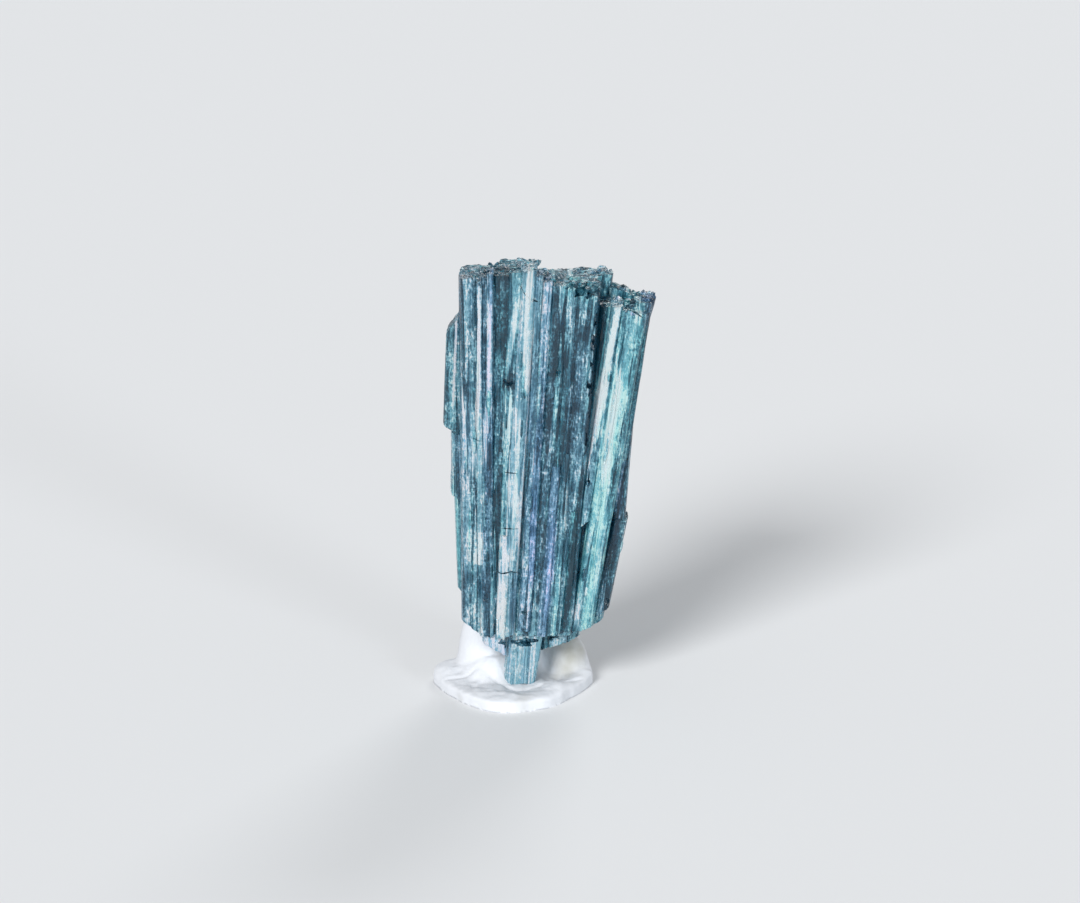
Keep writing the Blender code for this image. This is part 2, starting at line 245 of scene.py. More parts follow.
# Chips knocked out of the front: the middle of each as (across, back, up), and its size.
PITS = [Pit(*row) for row in (
    ((-1.75, -2.95, 7.55), (0.42, 0.4, 0.3)),
    ((-3.05, -3.1, 27.45), (0.55, 0.35, 0.3)),
    ((0.95, -2.85, 28.3), (0.3, 0.25, 0.35)),
    ((3.55, -2.6, 19.1), (0.25, 0.6, 0.9)),
    ((-5.2, -3, 8.9), (0.45, 0.3, 0.55)),
    ((5.4, -1.55, 8), (0.4, 0.45, 0.6)),
    ((5.05, -1.5, 6.95), (0.35, 0.4, 0.4)),
    ((-1.9, -2.5, 4.75), (1.8, 1.2, 0.85)),
    ((0.6, -2.2, 5.05), (1, 0.8, 0.45)),
    ((3.65, -3.1, 35.25), (1.3, 2, 1.2)),
    ((2.2, -3.1, 35.75), (1.1, 1.5, 0.85)),
    ((4.75, -2.5, 34.2), (0.7, 1.4, 1.2)),
    ((4.25, -2.8, 32.6), (0.4, 0.75, 0.8)),
    ((4.15, -2.8, 30.8), (0.52, 0.85, 1.15)),
    ((4, -2.8, 28.8), (0.36, 0.65, 0.75)),
    ((3.85, -2.8, 27), (0.46, 0.75, 1.05)),
    ((3.7, -2.8, 24.7), (0.36, 0.6, 0.95)),
    ((3.45, -2.8, 22.4), (0.32, 0.55, 0.95)),
)]


def metres(name, description, default):
    return FloatProperty(
        name=name, description=description, default=default, unit="LENGTH", precision=6
    )


def rgb(name, description, default):
    return FloatVectorProperty(
        name=name, description=description, default=default, subtype="COLOR"
    )


class CrystalSettings(bpy.types.PropertyGroup):
    column_spacing: metres("Column spacing", "Between the mesh's columns round a rod", 0.10 * MM)
    ring_spacing: metres("Ring spacing", "Between the mesh's rings along a rod", 0.7 * MM)
    striation_depth: metres("Striation depth", "Relief of the rods' laths and grooves", 0.30 * MM)
    splinter_height: metres("Splinter height", "Relief of the broken ends", 0.30 * MM)
    slat_width: metres("Slat width", "Half width of the widest slats on the rods", 0.26 * MM)
    slat_spacing: metres("Slat spacing", "Least distance between two slats", 1.2 * MM)
    grain_size: metres("Grain size", "Radius of the grains left on the etched top", 0.34 * MM)
    grain_seed: IntProperty(name="Grain seed", description="Of the grains and slats", default=11)
    dark_colour: rgb("Dark teal", "The deepest blue-green", (0.008, 0.038, 0.062))
    body_colour: rgb("Steel blue", "The rods' usual colour", (0.060, 0.185, 0.265))
    # the pale cyan and the white colour the bright streaks and ribs, partly as painted highlights
    pale_colour: rgb("Pale cyan", "The bright streaks", (0.32, 0.62, 0.74))
    white_colour: rgb("Silky white", "The whitest ribs", (0.97, 0.99, 1.00))
    turquoise_tint: rgb("Turquoise tint", "Multiplies the greener rods", (0.58, 1.06, 0.98))
    lilac_tint: rgb("Lilac tint", "Multiplies the lilac rods", (1.00, 0.89, 1.16))


class PuttySettings(bpy.types.PropertyGroup):
    lip_height: metres("Lip height", "Height of the putty's low front edge", 1.3 * MM)
    clean_colour: rgb("Putty white", "Colour of the clean putty", (0.645, 0.665, 0.70))
    soil_and_shade_colour: rgb("Soil and shade grey", "Grey of the putty's clouds, and of the shade painted in its hollow", (0.40, 0.40, 0.37))


class StageSettings(bpy.types.PropertyGroup):
    view_width: metres("View width", "Width of the view at the specimen", 91.8 * MM)
    camera_elevation: FloatProperty(
        name="Camera elevation",
        description="Height of the camera above the horizon",
        default=math.radians(16.0),
        subtype="ANGLE",
    )
    focal_length: FloatProperty(
        name="Focal length", description="Of the lens, in millimetres", default=100.0
    )
    aim_aside: metres("Aim aside", "How far right of the origin the view's middle is", -0.42 * MM)
    aim_up: metres("Aim up", "How far above the origin it is, across the view", 20.0 * MM)
    floor_colour: rgb("Floor", "Colour of the pale floor", (0.72, 0.73, 0.74))


# -------------------------------------------------------------------------- node wiring

Pattern = namedtuple("Pattern", "size along weight detail roughness", defaults=(2.0, 0.5))


class Value:
    """A node's output, which takes part in sums as a number does."""

    def __init__(self, wire, socket):
        self.wire = wire
        self.socket = socket

    def calculated(self, operation, *others):
        return self.wire.math(operation, self, *others)

    __add__ = partialmethod(calculated, "ADD")
    __sub__ = partialmethod(calculated, "SUBTRACT")
    __mul__ = partialmethod(calculated, "MULTIPLY")
    __truediv__ = partialmethod(calculated, "DIVIDE")
    __pow__ = partialmethod(calculated, "POWER")
    __abs__ = partialmethod(calculated, "ABSOLUTE")
    __gt__ = partialmethod(calculated, "GREATER_THAN")
    __lt__ = partialmethod(calculated, "LESS_THAN")
    at_least = partialmethod(calculated, "MAXIMUM")
    at_most = partialmethod(calculated, "MINIMUM")

    def __rsub__(self, other):
        return self.wire.math("SUBTRACT", other, self)


class Wiring:
    """Adds nodes to one tree, which take plain values and other nodes' outputs alike."""

    def __init__(self, tree):
        self.tree = tree

    def feed(self, socket, value):
        if isinstance(value, Value):
            self.tree.links.new(value.socket, socket)
        else:
            socket.default_value = value

    def node(self, kind, inputs=None, **settings):
        node = self.tree.nodes.new(kind)
        for name, value in settings.items():
            setattr(node, name, value)
        for key, value in (inputs or {}).items():
            self.feed(node.inputs[key], value)
        return node

    def out(self, kind, inputs=None, output=0, **settings):
        return Value(self, self.node(kind, inputs, **settings).outputs[output])

    def out_by_identifier(self, kind, inputs, output, **settings):
        """Like out, for a node whose sockets share names."""
        node = self.node(kind, **settings)
        sockets = {socket.identifier: socket for socket in (*node.inputs, *node.outputs)}
        for identifier, value in inputs.items():
            self.feed(sockets[identifier], value)
        return Value(self, sockets[output])

    def math(self, operation, *values):
        return self.out("ShaderNodeMath", dict(enumerate(values)), operation=operation)

    def vector(self, operation, *values):
        return self.out("ShaderNodeVectorMath", dict(enumerate(values)), operation=operation)

    def scaled(self, vector, share):
        inputs = {0: vector, "Scale": share}
        return self.out("ShaderNodeVectorMath", inputs, operation="SCALE")

    def combine(self, x, y, z):
        return self.out("ShaderNodeCombineXYZ", {0: x, 1: y, 2: z})

    def separate(self, vector):
        outputs = self.node("ShaderNodeSeparateXYZ", {0: vector}).outputs
        return [Value(self, socket) for socket in outputs]

    def blend(self, low, high, share):
        """low where share is 0 and high where it is 1."""
        return self.math("ADD", low, self.math("SUBTRACT", high, low) * share)

    def position(self):
        return self.out("GeometryNodeInputPosition")

    def squeezed(self, vector, pattern):
        return self.vector("MULTIPLY", vector, (1.0, 1.0, pattern.along))

    def noise(self, vector, pattern):
        inputs = {
            "Vector": self.squeezed(vector, pattern),
            "Scale": 1 / pattern.size,
            "Detail": pattern.detail,
            "Roughness": pattern.roughness,
        }
        return self.out("ShaderNodeTexNoise", inputs)

    def cells(self, vector, pattern):
        """A vector of three values, each of them the same all over a cell."""
        inputs = {"Vector": self.squeezed(vector, pattern), "Scale": 1 / pattern.size}
        return self.out("ShaderNodeTexVoronoi", inputs, "Color")

    def random_float(self, low, high, seed):
        inputs = {"Min_001": low, "Max_001": high, "Seed": seed}
        kind = "FunctionNodeRandomValue"
        return self.out_by_identifier(kind, inputs, "Value_001", data_type="FLOAT")

    def store(self, geometry, name, value, domain="FACE"):
        inputs = {"Geometry": geometry, "Name": name, "Value": value}
        kind = "GeometryNodeStoreNamedAttribute"
        return self.out(kind, inputs, data_type="FLOAT", domain=domain)

    def stored(self, name):
        kind = "GeometryNodeInputNamedAttribute"
        return self.out(kind, {"Name": name}, "Attribute", data_type="FLOAT")

    def reshaped(self, geometry, **inputs):
        """The geometry at another Position, or shifted by an Offset."""
        return self.out("GeometryNodeSetPosition", {"Geometry": geometry, **inputs})

    def scattered(self, given, wanted, spacing):
        """Points that keep their distance, over what is wanted of a mesh, and its normal."""
        inputs = {
            "Mesh": given["Geometry"],
            "Selection": wanted,
            "Distance Min": spacing,
            "Density Max": MOST_POINTS,
            "Seed": given["Seed"],
        }
        kind = "GeometryNodeDistributePointsOnFaces"
        outputs = self.node(kind, inputs, distribute_method="POISSON").outputs
        points, normal = Value(self, outputs["Points"]), Value(self, outputs["Normal"])
        shade = self.random_float(0.0, 1.0, SHADE_SEED)
        return self.store(points, "shade", shade, "POINT"), normal

    def copies(self, points, thing, turn, size):
        inputs = {"Points": points, "Instance": thing, "Rotation": turn, "Scale": size}
        placed = self.out("GeometryNodeInstanceOnPoints", inputs)
        return self.out("GeometryNodeRealizeInstances", {0: placed})

    def shaded(self, geometry, tones, greens):
        """Stores each copy's tone and green, which follow from its shade."""
        shade = self.stored("shade")
        geometry = self.store(geometry, "tone", self.blend(*tones, shade))
        return self.store(geometry, "green", self.blend(*greens, shade))

    def attribute(self, name):
        return self.out("ShaderNodeAttribute", output="Fac", attribute_name=name)

    def mix_colours(self, share, low, high):
        inputs = {"Factor_Float": share, "A_Color": low, "B_Color": high}
        return self.out_by_identifier("ShaderNodeMix", inputs, "Result_Color", data_type="RGBA")

    def ramp(self, share, first, last, between=()):
        """The colours of the given stops, each one a position and a colour."""
        node = self.node("ShaderNodeValToRGB", {"Fac": share})
        stops = node.color_ramp.elements
        for stop, (position, colour) in zip(stops, (first, last)):
            stop.position = position
            stop.color = (*colour, 1)
        for position, colour in between:
            stops.new(position).color = (*colour, 1)
        return Value(self, node.outputs[0])


ROD_LENGTHS = (
    "Foot Left", "Foot Right", "Head Left", "Head Right",
    "Front", "Back", "Foot Height", "Head Height",
)
ROD_SHAPE = ("Foot Slope", "Head Slope", "Striation Depth", "Splinter Height")
ROD_LOOKS = ("Seed", "Tone", "Green")


def new_geometry_tree(name, floats, whole_numbers, takes_geometry=False):
    """A tree with these inputs, its wiring, and the inputs' values by name."""
    tree = bpy.data.node_groups.new(name, "GeometryNodeTree")
    sockets = [("Geometry", "NodeSocketGeometry")] * takes_geometry
    sockets += [(socket, "NodeSocketFloat") for socket in floats]
    sockets += [(socket, "NodeSocketInt") for socket in whole_numbers]
    sockets.append(("Material", "NodeSocketMaterial"))
    for socket, kind in sockets:
        tree.interface.new_socket(socket, in_out="INPUT", socket_type=kind)
    tree.interface.new_socket("Geometry", in_out="OUTPUT", socket_type="NodeSocketGeometry")
    wire = Wiring(tree)
    outputs = wire.node("NodeGroupInput").outputs
    return wire, {socket.name: Value(wire, socket) for socket in outputs}


def finish_geometry_tree(wire, given, geometry):
    realized = wire.out("GeometryNodeRealizeInstances", {0: geometry})
    inputs = {"Geometry": realized, "Material": given["Material"]}
    wire.node("NodeGroupOutput", {0: wire.out("GeometryNodeSetMaterial", inputs)})
    return wire.tree


SQUARENESS = 5.0  # power of the rods' rounded-square section
LEAST_REACH = 1e-5  # keeps the middle of a rod's end from being divided by nothing
LEAST_POWERS = 0.1  # the same: anywhere else the powers come to more

# The relief along a rod, then the relief of its ends: how wide each pattern's parts are,
# how much the pattern is squeezed along the rod, and how much it counts.
BROAD_LATHS = Pattern(0.70 * MM, 0.05, 0.45)
NARROW_LATHS = Pattern(0.30 * MM, 0.04, 0.35)
SILK = Pattern(0.16 * MM, 0.03, 0.2)
CHUNKS = Pattern(0.75 * MM, 1.0, 0.7)
CRUMBS = Pattern(0.3 * MM, 1.0, 1.0, 3.0)
RELIEF_LEVEL = 0.3  # what is taken away from the relief's patterns, and from the ends'
JAG_LEVEL = 1.25


def striated_rod_tree():
    """One rod: a cylinder squared off, tapered from foot to head, grooved and splintered."""
    floats = (*ROD_LENGTHS, *ROD_SHAPE, *ROD_LOOKS)
    counts = ("Columns", "Rings", "End Rings")
    wire, given = new_geometry_tree("striated_rod", floats, counts)
    blend = wire.blend
    seed = given["Seed"]
    inputs = {
        "Vertices": given["Columns"],
        "Side Segments": given["Rings"],
        "Fill Segments": given["End Rings"],
        "Radius": 1.0,
        "Depth": 1.0,
    }
    cylinder = wire.out("GeometryNodeMeshCylinder", inputs, fill_type="TRIANGLE_FAN")
    x, y, z = wire.separate(wire.position())
    share = z + 0.5
    reach = ((x**2.0 + y**2.0) ** 0.5).at_least(LEAST_REACH)
    aside, deep = x / reach, y / reach
    powers = abs(aside) ** SQUARENESS + abs(deep) ** SQUARENESS
    squared = powers.at_least(LEAST_POWERS) ** (-1 / SQUARENESS)

    foot_half = (given["Foot Right"] - given["Foot Left"]) * 0.5
    head_half = (given["Head Right"] - given["Head Left"]) * 0.5
    half_width = blend(foot_half, head_half, 0.5)
    half_depth = (given["Back"] - given["Front"]) * 0.5
    across = x * squared * half_width
    inward = y * squared * half_depth
    along = share * (given["Head Height"] - given["Foot Height"])
    place = wire.combine(across, inward, along)
    place = wire.vector("ADD", place, wire.combine(seed, seed, seed))

    broad = wire.separate(wire.cells(place, BROAD_LATHS))[0]
    narrow = wire.separate(wire.cells(place, NARROW_LATHS))[0]
    silk = wire.noise(place, SILK) * SILK.weight - RELIEF_LEVEL
    relief = broad * BROAD_LATHS.weight + narrow * NARROW_LATHS.weight + silk
    relief = relief * given["Striation Depth"] * reach
    across = across - aside * relief
    inward = inward - deep * relief

    level = wire.combine(across + seed, inward + seed, 0.0)
    chunk = wire.separate(wire.cells(level, CHUNKS))[1]
    jag = chunk * CHUNKS.weight + wire.noise(level, CRUMBS) - JAG_LEVEL
    ends = []
    for name, direction in (("Foot", -1.0), ("Head", 1.0)):
        height = given[f"{name} Height"] + jag * (given["Splinter Height"] * direction)
        ends.append(height + given[f"{name} Slope"] * across)

    widened = blend(foot_half, head_half, share) / half_width
    foot_middle = blend(given["Foot Left"], given["Foot Right"], 0.5)
    head_middle = blend(given["Head Left"], given["Head Right"], 0.5)
    x = blend(foot_middle, head_middle, share) + across * widened
    z = blend(*ends, share)
    y = blend(given["Front"], given["Back"], 0.5) + inward
    y = (y - DEPTH_MIDDLE) * ((z - FAN_FROM) * DEPTH_FAN + 1.0) + DEPTH_MIDDLE
    shaped = wire.reshaped(cylinder, Position=wire.combine(x, y, z))
    for name in ("Tone", "Green"):
        shaped = wire.store(shaped, name.lower(), given[name])
    return finish_geometry_tree(wire, given, shaped)


MOST_POINTS = 4e6  # grains or slats for each square metre, at the most
SHADE_SEED = 4

GRAINS_FROM = 32 * MM  # the height above which the ends are etched
GRAIN_FACING = 0.6  # how much of a face's normal points up, at the least
GRAIN_PATCHES = Pattern(2.0 * MM, 1.0, 1.0)
GRAIN_PATCH = 0.47  # the noise above which a patch has grains
GRAIN_SPACING = 1.7  # this and the next four are shares of the grain's size
GRAIN_GIRTH = (0.45, 1.1)
GRAIN_HEIGHT = (0.35, 0.8)
GRAIN_SUNK = 0.28
GRAIN_SHOVE = 0.5
GRAIN_FACETS = Pattern(0.3 * MM, 1.0, 1.0)
GRAIN_TILT = 0.5  # in radians
GRAIN_TURN = 6.3
GRAIN_TONES = (0.12, 0.62)
GRAIN_GREENS = (0.9, -0.5)


def etched_grains_tree():
    """Angular grains of many sizes, sown on what faces up near the top of a mesh."""
    wire, given = new_geometry_tree("etched_grains", ("Grain Size",), ("Seed",), True)
    grain_size = given["Grain Size"]
    place = wire.position()
    height = wire.separate(place)[2]
    up = wire.separate(wire.out("GeometryNodeInputNormal"))[2]
    patch = wire.noise(place, GRAIN_PATCHES)
    wanted = (up > GRAIN_FACING) * (height > GRAINS_FROM) * (patch > GRAIN_PATCH)
    points, _ = wire.scattered(given, wanted, grain_size * GRAIN_SPACING)
    sunk = wire.combine(0.0, 0.0, grain_size * -GRAIN_SUNK)
    points = wire.reshaped(points, Offset=sunk)
    grain = wire.out("GeometryNodeMeshIcoSphere", {"Radius": 1.0, "Subdivisions": 2})
    girth = wire.random_float(*GRAIN_GIRTH, 5) * grain_size
    size = wire.combine(girth, girth, wire.random_float(*GRAIN_HEIGHT, 6) * grain_size)
    tilts = [wire.random_float(-GRAIN_TILT, GRAIN_TILT, number) for number in (7, 8)]
    turn = wire.combine(*tilts, wire.random_float(0, GRAIN_TURN, 9))
    sown = wire.copies(points, grain, turn, size)
    shove = wire.vector("SUBTRACT", wire.cells(place, GRAIN_FACETS), (0.5, 0.5, 0.5))
    sown = wire.reshaped(sown, Offset=wire.scaled(shove, grain_size * GRAIN_SHOVE))
    return finish_geometry_tree(wire, given, wire.shaded(sown, GRAIN_TONES, GRAIN_GREENS))


SLAT_MIDDLE = 19.5 * MM  # the height about which the broken slats lie
SLAT_REACH = 10.5 * MM
SLAT_HALF_SPREAD = 6.6 * MM
SLAT_FACING = 0.7  # how much of a face's normal points to the front or back, at the least
SLAT_GIRTH = (0.35, 1.0)  # these are shares of the slats' width
SLAT_LENGTH = (5.0, 20.0)
SLAT_SUNK = 0.55  # how deep a slat lies in the face, as a share of its own girth
SLAT_TAPER = 0.8  # how much of a slat's girth is gone at its ends
SLAT_TONES = (0.15, 0.58)
SLAT_GREENS = (0.6, 0.2)


def slats_tree():
    """Thin broken slats that lie along the fanned growth, half sunk in a mesh's sides."""
    sizes = ("Slat Width", "Slat Spacing")
    wire, given = new_geometry_tree("surface_slats", sizes, ("Seed",), True)
    slat_width = given["Slat Width"]
    x, y, z = wire.separate(wire.position())
    facing = abs(wire.separate(wire.out("GeometryNodeInputNormal"))[1]) > SLAT_FACING
    clear_of_ends = abs(z - SLAT_MIDDLE) < SLAT_REACH
    clear_of_edges = abs(x) < SLAT_HALF_SPREAD
    wanted = facing * (clear_of_ends * clear_of_edges)
    points, normal = wire.scattered(given, wanted, given["Slat Spacing"])
    girth = wire.random_float(*SLAT_GIRTH, 3) * slat_width
    points = wire.reshaped(points, Offset=wire.scaled(normal, girth * -SLAT_SUNK))
    inputs = {"Vertices": 6, "Side Segments": 3, "Radius": 1.0, "Depth": 1.0}
    slat = wire.out("GeometryNodeMeshCylinder", inputs, fill_type="NGON")
    narrowing = 1.0 - z * z * (4 * SLAT_TAPER)
    slat = wire.reshaped(slat, Position=wire.combine(x * narrowing, y * narrowing, z))
    turn = wire.combine(0.0, (x + FAN_AXIS) * FAN_LEAN, 0.0)
    size = wire.combine(girth, girth, wire.random_float(*SLAT_LENGTH, 5) * slat_width)
    laid = wire.copies(points, slat, turn, size)
    return finish_geometry_tree(wire, given, wire.shaded(laid, SLAT_TONES, SLAT_GREENS))


def run_nodes(obj, tree, values):
    """Runs the tree on the object, which is left with the plain mesh that it gives."""
    modifier = obj.modifiers.new(tree.name, "NODES")
    modifier.node_group = tree
    for item in tree.interface.items_tree:
        if item.in_out == "INPUT" and item.name != "Geometry":
            modifier[item.identifier] = values[item.name]
    keep_evaluated(obj)


def keep_evaluated(obj):
    graph = bpy.context.evaluated_depsgraph_get()
    mesh = bpy.data.meshes.new_from_object(obj.evaluated_get(graph))
    obj.modifiers.clear()
    old = obj.data
    obj.data = mesh
    bpy.data.meshes.remove(old)


def new_object(name, data=None):
    obj = bpy.data.objects.new(name, data or bpy.data.meshes.new(name))
    bpy.context.scene.collection.objects.link(obj)
    return obj


def object_from(bm, name):
    mesh = bpy.data.meshes.new(name)
    bm.to_mesh(mesh)
    bm.free()
    return new_object(name, mesh)


ROUND_SHARE = 1.8  # length round a rod, as a share of its width and depth together
LEAST_COLUMNS = 24
LEAST_RINGS = 4
LEAST_END_RINGS = 2
END_RING_WIDTH = 0.7  # in millimetres
THIN_RELIEF = 0.2  # the share of the relief that the very thinnest rod would have
RELIEF_THICKNESS = 3  # the thickness, in millimetres, that adds as much as the whole relief
SEED_STEP = 13.7 * MM  # how far apart the patterns of two rods are taken from


def grow_rod(rod, number, settings, tree, material):
    obj = new_object(f"rod_{rod.name}")
    width = max(right - left for left, right in (rod.foot_edges, rod.head_edges))
    depth = rod.back - rod.front
    thickness = min(width, depth)
    round_it = ROUND_SHARE * (width + depth) * MM
    relief = min(1, THIN_RELIEF + thickness / RELIEF_THICKNESS)
    ends = (*rod.foot_edges, *rod.head_edges, rod.front, rod.back, rod.foot, rod.head)
    values = {name: value * MM for name, value in zip(ROD_LENGTHS, ends)}
    values.update({
        "Foot Slope": float(rod.foot_slope),
        "Head Slope": float(rod.head_slope),
        "Striation Depth": settings.striation_depth * relief,
        "Splinter Height": settings.splinter_height,
        "Seed": number * SEED_STEP,
        "Tone": rod.tone,
        "Green": rod.green,
        "Columns": max(LEAST_COLUMNS, int(round_it / settings.column_spacing)),
        "Rings": max(LEAST_RINGS, int((rod.head - rod.foot) * MM / settings.ring_spacing)),
        "End Rings": LEAST_END_RINGS + int(thickness / END_RING_WIDTH),
        "Material": material,
    })
    run_nodes(obj, tree, values)
    return obj


def scatter_over(cluster, tree, settings, material):
    """A new object with what the tree scatters over the cluster."""
    obj = new_object(tree.name, cluster.data.copy())
    run_nodes(obj, tree, {
        "Grain Size": settings.grain_size,
        "Slat Width": settings.slat_width,
        "Slat Spacing": settings.slat_spacing,
        "Seed": settings.grain_seed,
        "Material": material,
    })
    return obj


def join_solids(obj, others, operation="UNION"):
    """Joins or cuts closed meshes by closed meshes, and removes the others."""
    group = bpy.data.collections.new("joined_solids")
    bpy.context.scene.collection.children.link(group)
    for other in others:
        bpy.context.scene.collection.objects.unlink(other)
        group.objects.link(other)
    modifier = obj.modifiers.new("join", "BOOLEAN")
    modifier.operation = operation
    modifier.solver = "MANIFOLD"
    modifier.operand_type = "COLLECTION"
    modifier.collection = group
    keep_evaluated(obj)
    for other in others:
        mesh = other.data
        bpy.data.objects.remove(other)
        bpy.data.meshes.remove(mesh)
    bpy.data.collections.remove(group)


def drop_scraps(mesh):
    """Leaves the largest joined body alone, without the flakes that the cuts set free."""
    bm = bmesh.new()
    bm.from_mesh(mesh)
    bodies, seen = [], set()
    for start in bm.verts:
        if start in seen:
            continue
        seen.add(start)
        body = [start]
        for vert in body:
            near = [edge.other_vert(vert) for edge in vert.link_edges]
            fresh = [other for other in near if other not in seen]
            seen.update(fresh)
            body.extend(fresh)
        bodies.append(body)
    bodies.sort(key=len)
    scraps = [vert for body in bodies[:-1] for vert in body]
    bmesh.ops.delete(bm, geom=scraps, context="VERTS")
    bm.to_mesh(mesh)
    bm.free()


# ---------------------------------------------------------------------------- materials

LINE_FAN = 12.0  # growth of the lines' spacing for each metre of height

# The patterns in the crystals: the width of each one's parts, how much it is squeezed
# along the growth, and how much it counts. Then the noise's detail and roughness.
BANDS = Pattern(0.9 * MM, 0.05, 0.7, 3.0)
LATHS = Pattern(0.32 * MM, 0.025, 0.62)
FIBRES = Pattern(0.15 * MM, 0.02, 0.9, 3.0, 0.7)
HAIRS = Pattern(0.07 * MM, 0.015, 0.35, 1.0)
GRAIN = Pattern(0.14 * MM, 0.42, 1.5, 2.0, 0.6)
MOTTLE = Pattern(0.8 * MM, 0.5, 1.2, 3.0, 0.6)
FRACTURES = Pattern(0.16 * MM, 1.0, 0.6)
FRACTURE_STRETCH = (0.3, 0.3, 1.0)  # the fractures lie across the growth

ETCHED_FROM = 0.32  # the mottle below which a place is no more etched than the least
ETCHED_GAIN = 4.5
ETCHED_RANGE = (0.25, 1.4)
ETCHED_ROUGHNESS = 0.28
POLISHED_ROUGHNESS = 0.02
GRAIN_RELIEF = 1.2
GLINT_SPECK_FROM = 0.62  # the grain above which there are pale specks, painted glints on the etched places
GLINT_SPECK_GAIN = 1.6

LIFT = 0.10  # how much lighter every rod is than its given tone
PALE_FROM = 0.35  # the tone above which a rod grows calmer
PALE_CALM = 2.2
MOST_UNREST = 1.15
LEAST_UNREST = 0.6
CALM_GAIN = 0.75  # how much a streak's light takes away from the unrest
BODY_STOP = 0.38  # the tones of the rods' usual colour and of the bright streaks'
PALE_STOP = 0.75
HUE_UNREST = 1.5
WHITE_FADE = 0.9  # how much a streak's light takes away from the turquoise tint
LEAST_TINT = 0.2


def new_material(name):
    material = bpy.data.materials.new(name)
    material.use_nodes = True
    material.node_tree.nodes.clear()
    return material, Wiring(material.node_tree)


def elbaite_material(settings):
    """Silky, streaked, half clear blue-green, which lets light through and takes some up."""
    material, wire = new_material("striated_elbaite")
    place = wire.out("ShaderNodeTexCoord", output="Object")
    x, y, z = wire.separate(place)
    spread = (z - FAN_FROM) * LINE_FAN + 1.0
    lined = wire.combine((x + FAN_AXIS) / spread, y, z)

    bands = wire.noise(lined, BANDS)
    laths = wire.separate(wire.cells(lined, LATHS))[0]
    fibres = wire.noise(lined, FIBRES)
    hairs = wire.noise(lined, HAIRS)
    grain = wire.noise(place, GRAIN)
    mottle = wire.noise(place, MOTTLE)
    fractures = wire.noise(wire.vector("MULTIPLY", place, FRACTURE_STRETCH), FRACTURES)
    low, high = ETCHED_RANGE
    etched = ((mottle - ETCHED_FROM) * ETCHED_GAIN).at_least(low).at_most(high)
    unrest = (grain - 0.5) * (etched * GRAIN.weight)
    drawn = ((bands, BANDS), (laths, LATHS), (fibres, FIBRES), (hairs, HAIRS), (mottle, MOTTLE))
    for values, pattern in drawn:
        unrest = unrest + (values - 0.5) * pattern.weight
    # pale specks on the etched places: painted glints
    specks = (grain - GLINT_SPECK_FROM).at_least(0.0)
    unrest = unrest + specks * etched * GLINT_SPECK_GAIN
    unrest = unrest + (fractures - 0.5) * FRACTURES.weight * etched

    # the front's streaks are partly painted highlights and painted shade, the back's are random
    # veils
    veils_and_painted_light = wire.attribute("veils_and_painted_light")
    given_tone = wire.attribute("tone")
    paler = (given_tone - PALE_FROM).at_least(0.0)
    bright = abs(veils_and_painted_light) + paler * PALE_CALM
    calm = (MOST_UNREST - bright * CALM_GAIN).at_least(LEAST_UNREST)
    tone = (given_tone + LIFT + veils_and_painted_light).at_most(1.0) + unrest * calm
    between = ((BODY_STOP, settings.body_colour), (PALE_STOP, settings.pale_colour))
    ends = ((0.0, settings.dark_colour), (1.0, settings.white_colour))
    colour = wire.ramp(tone, *ends, between)

    white = (1, 1, 1, 1)
    hue = wire.attribute("green") + wire.attribute("hue") + (bands - 0.5) * HUE_UNREST
    greener = hue * (1.0 - veils_and_painted_light.at_least(0.0) * WHITE_FADE).at_least(LEAST_TINT)
    green = wire.mix_colours(greener, white, (*settings.turquoise_tint, 1))
    lilac = wire.mix_colours(hue * -1.0, white, (*settings.lilac_tint, 1))
    colour = wire.vector("MULTIPLY", wire.vector("MULTIPLY", colour, green), lilac)

    relief = fibres + grain * (etched * GRAIN_RELIEF)
    bump = {"Strength": 0.7, "Distance": 0.05 * MM, "Height": relief}
    surface = {
        "Base Color": colour,
        "Roughness": etched * ETCHED_ROUGHNESS + POLISHED_ROUGHNESS,
        "IOR": 1.63,
        "Specular IOR Level": 0.25,
        "Transmission Weight": 0.55,
        "Normal": wire.out("ShaderNodeBump", bump),
    }
    absorption = {"Color": (0.35, 0.72, 0.82, 1), "Density": 350.0}
    outputs = {
        "Surface": wire.out("ShaderNodeBsdfPrincipled", surface),
        "Volume": wire.out("ShaderNodeVolumeAbsorption", absorption),
    }
    wire.node("ShaderNodeOutputMaterial", outputs)
    return material


CLOUDS = Pattern(3.0 * MM, 1.0, 1.0, 3.0)
SPECKS = Pattern(0.25 * MM, 1.0, 0.5, 3.0, 0.7)
HOLLOW_SHADE_PLACE = (1.8 * MM, 0.8 * MM, 2.7 * MM)  # the middle of the grey painted as shade in the hollow right of the stub
HOLLOW_SHADE_REACH = 3.1 * MM
HOLLOW_SHADE_GAIN = 0.5
SOIL_AND_SHADE_STOP = 0.02  # how cloudy the soiled or shaded and the clean putty are
CLEAN_STOP = 0.42


